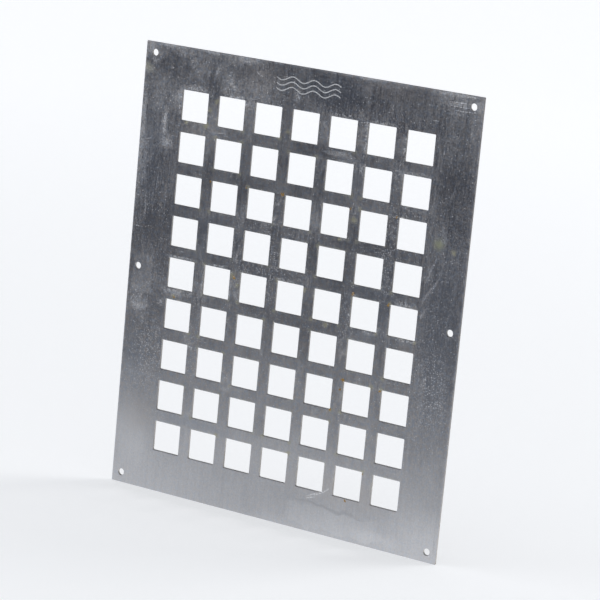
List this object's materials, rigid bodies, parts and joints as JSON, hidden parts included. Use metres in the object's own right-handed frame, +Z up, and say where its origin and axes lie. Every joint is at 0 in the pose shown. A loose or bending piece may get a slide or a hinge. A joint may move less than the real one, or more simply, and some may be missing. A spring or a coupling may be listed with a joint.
{
  "type": "ventilation grille plate",
  "caption": "Flat rectangular sheet-metal ventilation grille with a grid of punched square openings, a plain screw-hole border and an engraved airflow symbol.",
  "frame": {"origin": "centre of the back face, which is also the centre of the corner screw holes", "axes": "+X to the right seen from the front, +Z up along the plate's height, -Y out of the front face"},
  "size_m": [0.25, 0.0015, 0.3],
  "materials": {
    "sheet_metal": "mill-finish rolled sheet, vertical grain, lightly oxidised and marked"
  },
  "bodies": {
    "root": {"grille_plate": "sheet_metal"}
  },
  "joints": []
}
